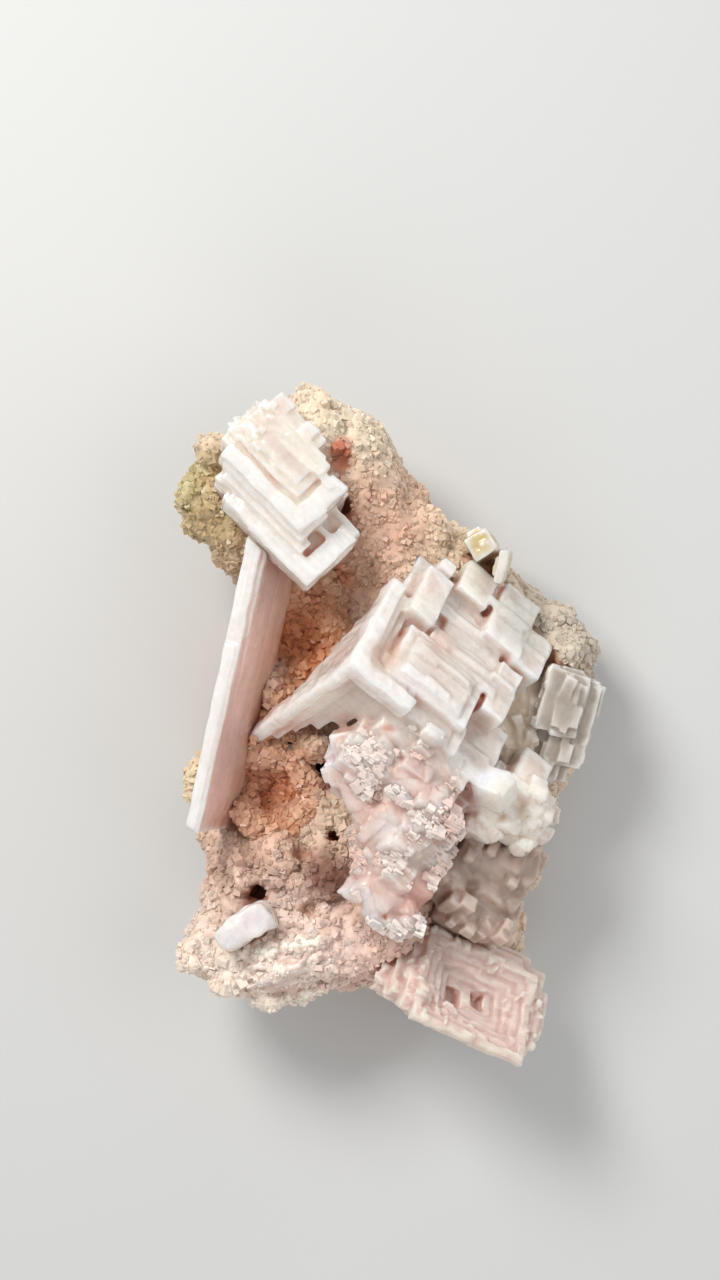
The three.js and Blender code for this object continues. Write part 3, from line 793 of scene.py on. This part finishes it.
def main_finish(shape, tint):
    """Its spots, then the cube's bluish white (partly its own white, partly painted reflection) and the crust
    beside it.
    """
    points = shape.points
    for x, y, reach, tone in MAIN_SPOTS:
        tint = mix(tint, tone, 0.75 * near(points, x, y, reach, 0.7))
    # partly the cube's own white, partly painted reflection: bluish white on the cube
    tint = mix(tint, colour(250, 251, 254), 0.9 * near(points, *SHEEN_CUBE))
    tint = mix(tint, colour(250, 239, 227), 0.9 * near(points, *CREAM_CRUST))
    return tint


def growth_grains(surface):
    """Small crystals sunk in the pink growth, nearly parallel to the main crystal."""
    axes = np.array(aligned(node_shape("halite_main_cluster"), MAIN_AXES).to_3x3())

    def where(places, ups):
        return pink_patches(places) * ramp(13 - places[:, 0], 0, 2) * (ups[:, 2] > -0.2) + 1e-9

    def tint_of(places):
        white = np.tile(colour(248, 235, 228), (len(places), 1))
        return mix(white, colour(238, 211, 200), ramp(noise(places, 4.5, 17), -0.3, 0.4))

    coat = scattered(surface, 1000, (0.4, 1.3), tint_of, where, sink=0.86, axes=axes, tilt=0.08, long=1.5)
    piece_of("growth_grains", *coat, dusty, "halite_milky", smooth=False)


# ---------- Matrix ----------

ZONES = [  # middle in plan, radius, colour of the matrix
    (-30, 36, 7, colour(186, 162, 116)),
    (-33.5, 40, 3, colour(204, 198, 150)),
    (-12, 50, 10, colour(232, 214, 190)),
    (-2.9, 31.3, 9, colour(220, 174, 150)),
    (-21.5, 6, 6, colour(204, 142, 106)),
    (-21.5, -6, 6, colour(206, 150, 120)),
    (10, 28, 8, colour(232, 212, 184)),
    (29.7, 14.7, 8, colour(202, 191, 174)),
    (21, 4, 8, colour(226, 198, 172)),
    (-24, -25, 8, colour(200, 160, 142)),
    (-22, -40, 12, colour(255, 236, 222)),
    (-10, -37, 5, colour(250, 226, 214)),
    (-6, -35, 9, colour(222, 184, 168)),
    (-34, -10, 6, colour(228, 208, 176)),
]

# The brown nodule and the patch at (-12.5, 25) are the matrix's own colour; the four in dents are painted
# shade in those holes.
STAINS_AND_SHADE = [  # middle in plan, reach, colour of what is darker than its zone
    (-10.4, -23.8, 5.5, colour(112, 56, 32)),
    (-22.8, -28.2, 3, colour(120, 60, 44)),
    (-12.4, -7.6, 3, colour(110, 52, 40)),
    (-8.6, 44.4, 3.6, colour(196, 96, 54)),
    (-8.8, 36.4, 2.8, colour(170, 76, 50)),
    (-12.5, 25, 6, colour(196, 122, 86)),
]


def zone_tint(points):
    """The matrix's colours, zone by zone, with its stains and the painted shade in its dents."""
    bent = points[:, :2] + np.stack([noise(points, 5, 21), noise(points, 5, 22)], axis=1) * 2.5
    total = np.full((len(points), 1), BEIGE_WEIGHT)
    mixed = np.tile(BEIGE, (len(points), 1)) * BEIGE_WEIGHT
    for x, y, radius, tone in ZONES:
        weight = np.exp(-(((bent[:, 0] - x) ** 2 + (bent[:, 1] - y) ** 2) / radius**2))[:, None]
        mixed += weight * tone
        total += weight
    tint = 0.92 * mixed / total
    # stains, and painted shade in the dents
    for x, y, reach, tone in STAINS_AND_SHADE:
        tint = mix(tint, tone, 0.85 * near(bent, x, y, reach, 0.7))
    return tint


def rough_skin(shape, voxel, soften, swell, calm=None):
    """A granular skin: softened, then raised by grains of several sizes, less where it's calm. It never goes
    below the base."""
    made = skin(shape, voxel)
    made.points = made.smoothed(soften, 0.6)
    normals = made.normals()
    height = lumps(made.points, swell)
    above = ramp(made.points[:, 2], 0.3, 2.5)
    if calm is not None:
        above *= 1 - 0.9 * calm(made.points)
    made.points = made.points + normals * (height * above)[:, None]
    made.points[:, 2] = np.maximum(made.points[:, 2], 0)
    return made


def scattered(surface, count, sizes, tint_of, where=None, sink=0.25, axes=None, tilt=0.2, long=1):
    """Small crystals on a surface as one shape, and their tint. Their turn is random, or near to axes."""
    normals = surface.face_normals()
    areas = np.linalg.norm(normals, axis=1)
    share = areas.copy()
    middles = surface.points[surface.faces].mean(axis=1)
    if where is not None:
        share *= where(middles, normals / np.maximum(areas, 1e-12)[:, None])
    picked = rng.choice(len(areas), count, p=share / share.sum())
    weights = rng.dirichlet((1, 1, 1), count)
    spots = np.einsum("nk,nkj->nj", weights, surface.points[surface.faces[picked]])
    up = normals[picked] / np.maximum(areas[picked], 1e-12)[:, None]
    size = sizes[0] + (sizes[1] - sizes[0]) * rng.random(count) ** 2.2
    turns = rng.normal(size=(count, 4)) if axes is None else rng.normal(size=(count, 4)) * tilt + (1, 0, 0, 0)
    turns /= np.linalg.norm(turns, axis=1, keepdims=True)
    w, x, y, z = turns.T
    rotation = np.stack(
        [
            np.stack([1 - 2 * (y * y + z * z), 2 * (x * y - z * w), 2 * (x * z + y * w)], 1),
            np.stack([2 * (x * y + z * w), 1 - 2 * (x * x + z * z), 2 * (y * z - x * w)], 1),
            np.stack([2 * (x * z - y * w), 2 * (y * z + x * w), 1 - 2 * (x * x + y * y)], 1),
        ],
        1,
    )
    if axes is not None:
        rotation = rotation @ axes
    stretch = rng.uniform(0.7, 1.3, size=(count, 1, 3)) * (1, long, 1)
    local = BOX_POINTS[None] * stretch * size[:, None, None]
    middle = spots + up * (size * (0.5 - sink))[:, None]
    points = np.einsum("nij,nkj->nki", rotation, local) + middle[:, None]
    faces = BOX_FACES[None] + 8 * np.arange(count)[:, None, None]
    shade = 1 + 0.04 * rng.normal(size=(count, 1))
    tint = np.repeat(np.clip(tint_of(spots) * shade, 0, 1), 8, axis=0)
    return Shape(points.reshape(-1, 3), faces.reshape(-1, 3)), tint


STRIATED = (-16, -39.5)  # the middle in plan of the straight ridges and of the crystals on them


def ridges(points):
    """The fibrous ridges of the lower left, then the straighter ones at the bottom."""
    x, y = points[:, 0] + 0.35 * points[:, 1], points[:, 1] - 0.5 * points[:, 0]
    turned = np.stack([x + 1.5 * noise(points, 6, 66), y, points[:, 2]], axis=1)
    curved = near(points, -23, -24, 10, 0.5) * noise(turned, np.array([2.3, 12, 12]), 67)
    across = np.stack([points[:, 0], points[:, 1] - 0.25 * points[:, 0], points[:, 2]], axis=1)
    return curved + near(points, *STRIATED, 8) * noise(across, np.array([9, 1.2, 9]), 68)


def fan_share(points):
    """1 where the bladed crystals stand, between the main crystal and the right edge."""
    return ramp(oval(points, *BLADED_FAN), 0, 0.3)


DENTS = [  # middle in plan, reach, depth
    (-8.6, 44.4, 3.6, 1.8),
    (-8.8, 36.4, 3, 1.8),
    (-12.4, -7.6, 2.6, 2.4),
    (-15.5, -21, 2.4, 1.6),
    (-5.5, -27.5, 2.2, 1.4),
    (-22.8, -28.2, 3.4, 1.2),
    (-14, -30.5, 2, 1.2),
]

SMOOTH_PLACES = [  # middle in plan, reach: the dark pits and the bladed crystals, without grains
    (-22.8, -28.2, 2.6),
    (-12.4, -7.6, 2.4),
    (21.5, -5, 7),
    (21.5, 3, 7),
]


def matrix_pieces():
    """The matrix with its ridges, knobs and dents, and the grains on it."""
    swell = [(5.0, 1.3, 31), (2.4, 0.4, 41), (1.2, 0.18, 51)]
    surface = rough_skin(node_shape("trona_matrix"), MATRIX_VOXEL, 4, swell, calm=fan_share)
    ridged = ridges(surface.points)
    knobs = near(surface.points, -20, -37, 17, 0.3) * lumps(surface.points, [(3.0, 1.1, 93)])
    dents = sum(depth * near(surface.points, x, y, reach, 0.8) for x, y, reach, depth in DENTS)
    surface.points += surface.normals() * (1.7 * ridged + knobs - dents)[:, None]
    surface.points[:, 2] = np.maximum(surface.points[:, 2], 0)
    shut = shelter(surface)
    tint = zone_tint(surface.points)
    # painted light and shade: lighter on bumps and ridge crests, darker in small hollows; partly the ridges'
    # own whitish colour
    tint = tint * (1.05 + 0.3 * np.clip(surface.bulge(10), -0.35, 0.35) + 0.3 * ridged)[:, None]
    # painted shade and glow: orange-brown where the matrix is shut in
    tint = mix(tint, colour(196, 122, 88), 0.85 * ramp(shut, 0.35, 0.9))
    piece_of("matrix", surface, tint, stony, "trona_matrix", replaces=["trona_matrix"])
    open_faces = shut[surface.faces].mean(axis=1) < 0.6

    def showing(places, ups):
        smooth = near_any(places, SMOOTH_PLACES)
        return (ups[:, 2] > -0.4) & (places[:, 2] > 1.5) & open_faces & (smooth < 0.4)

    small, small_tint = scattered(
        surface, 13500, (0.35, 1.05), lambda p: zone_tint(p) * 1.08, showing, sink=0.5
    )
    large, large_tint = scattered(surface, 500, (0.9, 1.6), lambda p: zone_tint(p) * 1.1, showing, sink=0.6)
    grains, tints = together([small, large]), np.vstack([small_tint, large_tint])
    piece_of("matrix_grains", grains, tints, sugary, "trona_matrix", smooth=False)


matrix_tree = tree_of(node_shape("trona_matrix"))


def embedded(
    name, count, area, share, thick, length, heading, turn, tone, material, soften=2, voxel=0.3, lift=0.25
):
    """Crystals sunk in the top of the matrix. They run at the heading in plan, each turned a little."""
    (left, right), (front, back) = area
    made = []
    while len(made) < count:
        x, y = rng.uniform(left, right), rng.uniform(front, back)
        if share(np.array([[x, y, 0.0]]))[0] < rng.random():
            continue
        top = matrix_tree.ray_cast(Vector((x, y, 90)), Vector((0, 0, -1)))[0]
        if top is None:
            continue
        size = np.array([rng.uniform(*length), rng.uniform(*thick), rng.uniform(*thick)])
        turned = Matrix.Identity(3)
        for axis, start, width in (("Z", heading, turn), ("Y", 0, 12), ("X", 0, 25)):
            degrees = start + rng.normal() * width
            turned = turned @ Matrix.Rotation(math.radians(degrees), 3, axis)
        spot = np.array([x, y, top.z + lift * size[2]])
        made.append(Shape((BOX_POINTS * size) @ np.array(turned).T + spot, BOX_FACES))
    shape = skin(together(made), voxel)
    shape.points = shape.smoothed(soften, 0.4) + 0.25 * drift(shape.points, 2.2, 77)
    base = np.tile(tone, (len(shape.points), 1))
    # painted shade: the tone darkened where the crystals are shut in; whiter edges partly painted highlight
    tint = crystal_tint(shape, base, mix_one(tone, WHITE, 0.6), tone * 0.85)
    piece_of(name, shape, tint, material, "trona_matrix", shape.points)


PALE_CRUST = [(-21, 9.4, 4), (-24.4, 3, 5)]  # middle in plan, reach


def druse(name, node, tone, bottom_shade):
    """The crust of a hollow, with painted shade that darkens it further down, paler at its rim, and the small
    crystals on it.
    """
    surface = rough_skin(node_shape(node), CRUST_VOXEL, 2, [(2.4, 0.8, 61), (1.3, 0.4, 71)])

    def tint_of(points):
        # painted shade: darker further down the hollow
        recess_shade = ramp(24 - points[:, 2] + 3 * noise(points, 4, 9), 0, 12)
        rim = ramp(points[:, 2] + 4 * noise(points, 3.5, 12), 17, 23)
        tint = mix(mix(np.tile(tone, (len(points), 1)), bottom_shade, recess_shade), colour(230, 190, 164), 0.6 * rim)
        return mix(tint, colour(242, 208, 190), 0.9 * near_any(points, PALE_CRUST))

    piece_of(name, surface, tint_of(surface.points), crusty, "hollow_druse", replaces=[node])
    grains, grain_tint = scattered(surface, 3800, (0.4, 1.3), tint_of)
    piece_of(name + "_grains", grains, grain_tint, sparkly, "hollow_druse", smooth=False)


# ---------- Assembly ----------

milky = mineral(
    "halite_milky", 0.17, 0.12, glow=1.0, depth=3.2, grain=1.0, speckle=0.05, relief=0.2, lines=0.2
)
pinkish = mineral(
    "halite_pink", 0.22, 0.1, glow=1.0, depth=3.2, grain=1.4, speckle=0.05, relief=0.12, lines=0.3
)
smoky = mineral(
    "halite_smoky", 0.15, 0.2, glow=0.9, depth=3.2, grain=1.4, speckle=0.06, relief=0.15, lines=0.2
)
clear = mineral("halite_clear", 0.14, 0.35, grain=0.8, speckle=0.03, relief=0.15)
stony = mineral("trona_stone", 0.55, glow=0.4, depth=0.8, grain=0.35, speckle=0.08, relief=0.4)
sugary = mineral("trona_grains", 0.42, 0.05, glow=0.5, depth=0.6, grain=0.5, speckle=0.04, relief=0.1)
frosted = mineral(
    "halite_frosted", 0.3, 0.06, glow=0.5, depth=0.5, grain=1.2, speckle=0.05, relief=0.15, lines=0.3
)
dusty = mineral("halite_grains", 0.35, glow=0.4, depth=0.3, grain=1.2, speckle=0.04, relief=0.1)
crusty = mineral("druse_crust", 0.5, glow=0.4, depth=0.8, grain=0.4, speckle=0.1, relief=0.3)
sparkly = mineral("druse_grains", 0.35, 0.15, glow=0.3, depth=0.3, grain=0.5, speckle=0.04, relief=0.1)

studio()
# In each crystal, the colour after its base colour is painted shade and glow where it is shut in.
main_crystal = crystal(
    "main_cluster", "halite_main_cluster", MAIN_AXES,
    [
        {"count": 110, "long": (4, 12), "wide": (0.9, 2.8), "rise": (0.15, 0.4),
         "where": behind_rims, "levels": [2]},
        {"count": 60, "long": (10, 28), "wide": (0.8, 2.4), "rise": (0.15, 0.35), "levels": [0, 1]},
    ],
    main_grain, milky, "halite_milky", main_colours, PEACH_SHADE,
    finish=main_finish, merge=main_merge, lumpy=pink_share, voxel=MAIN_VOXEL,
    sprinkle=[
        {"count": 340, "thick": (1.2, 2.8), "length": (0.8, 2), "where": pink_patches, "tilt": 8},
        {"count": 800, "thick": (0.5, 1.1), "length": (0.8, 2.5), "where": pink_patches, "tilt": 10},
    ],
)
crystal(
    "top_hopper", "halite_top_hopper", TOP_AXES,
    [{"count": 110, "long": (3, 12), "wide": (0.7, 1.8), "rise": (0.12, 0.35)}],
    along(1, 0, 1), milky, "halite_milky", hopper_colours, PEACH_SHADE,
    sprinkle=[
        {"count": 110, "thick": (0.4, 0.9), "length": (1, 2.2), "where": lambda p: near(p, -23, 50.5, 5)}
    ],
)
crystal(
    "side_blade", "halite_side_blade", [(-0.215, -0.976, -0.045), (0.92, -0.2, 0.33)],
    [], along(1, 0, 0), pinkish, "halite_pink", blade_colours, PEACH_SHADE, bend=0.1,
    merge=lambda points: 0.9 * ramp(BLADE_TOP - points[:, 2], 1.5, 4),
)
crystal(
    "corner_hopper", "halite_corner_hopper", CORNER_AXES,
    [{"count": 420, "long": (1, 5), "wide": (0.6, 1.2), "rise": (0.2, 0.5)}],
    along(1, 0, 0), pinkish, "halite_pink", colour(228, 202, 192), colour(222, 176, 160),
    edge=CREAM, bend=0.3, merge=lambda points: 0.5 * near(points, 22, -33, 12),
    sprinkle=[{"count": 420, "thick": (0.5, 0.9), "length": (0.8, 1.6), "where": crumbs}],
)
crystal(
    "smoky_steps", "halite_smoky_steps", MAIN_AXES,
    [{"count": 120, "long": (1.5, 6), "wide": (0.8, 2), "rise": (0.3, 0.9), "tilt": 6}],
    main_grain, smoky, "halite_smoky", colour(196, 170, 154), colour(166, 128, 108),
    edge=colour(218, 198, 186), merge=lambda points: 0.85 * anywhere(points), soften=6,
    sprinkle=[{"count": 45, "thick": (2, 3.6), "length": (0.5, 0.9), "where": anywhere, "tilt": 3}],
)
crystal(
    "edge_plates", "halite_edge_plates", [(0.27, 0.95, 0.05), (-0.92, 0.26, 0.16)],
    [{"count": 100, "long": (2, 9), "wide": (1, 3), "rise": (0.2, 0.7), "tilt": 7}],
    along(1, 0, 0), smoky, "halite_smoky", colour(196, 185, 173), colour(180, 158, 138),
    edge=colour(246, 240, 232), bend=0.15,
)
crystal(
    "white_stub", "halite_white_stub", [(0.82, 0.56, 0.08), (-0.54, 0.82, -0.1)],
    [{"count": 30, "long": (1, 4), "wide": (0.5, 1.5), "rise": (0.1, 0.3)}],
    along(1, 0, 0), milky, "halite_milky", colour(240, 234, 234), BLUSH_SHADE, soften=60, bend=0.4,
)
crystal(
    "rim_cube", "halite_rim_cube", [(0.83, 0.5, 0.1), (-0.5, 0.85, -0.1)],
    [{"count": 20, "long": (1, 3), "wide": (0.5, 1), "rise": (0.2, 0.4)}],
    along(1, 0, 0), smoky, "halite_milky", colour(224, 208, 162), BEIGE,
)
crystal(
    "rim_blade", "halite_rim_blade", [(0.97, -0.2, 0.1), (0.24, 0.95, 0.1)],
    [{"count": 12, "long": (1, 3), "wide": (0.5, 0.8), "rise": (0.1, 0.2)}],
    along(1, 0, 1), smoky, "halite_milky", colour(228, 216, 182), BEIGE,
)
crystal(
    "cavity_prism", "halite_cavity_prism", [(0.98, 0.06, 0.1), (-0.02, 0.86, -0.5)],
    [], along(2, 2, 0), clear, "halite_clear", colour(246, 240, 236), BEIGE, bend=0.05,
)
growth_grains(main_crystal)
matrix_pieces()
embedded(
    "bladed_crystals", 90, [(15, 28), (-11, 10)], fan_share,
    (0.9, 2.0), (3, 8), 97, 14, colour(246, 228, 204), frosted, soften=1, lift=0.35,
)
embedded(
    "striated_crystals", 120, [(-24, -9), (-45, -34)], lambda p: near(p, *STRIATED, 6.5),
    (0.5, 1.0), (4, 8), 22, 3, colour(234, 206, 192), frosted, voxel=0.25, lift=0.1,
)
# The second colour of each hollow is its painted shade at the bottom.
druse("upper_druse", "upper_hollow_druse", colour(255, 202, 158), colour(248, 170, 122))
druse("lower_druse", "lower_hollow_druse", colour(228, 166, 126), colour(190, 104, 64))
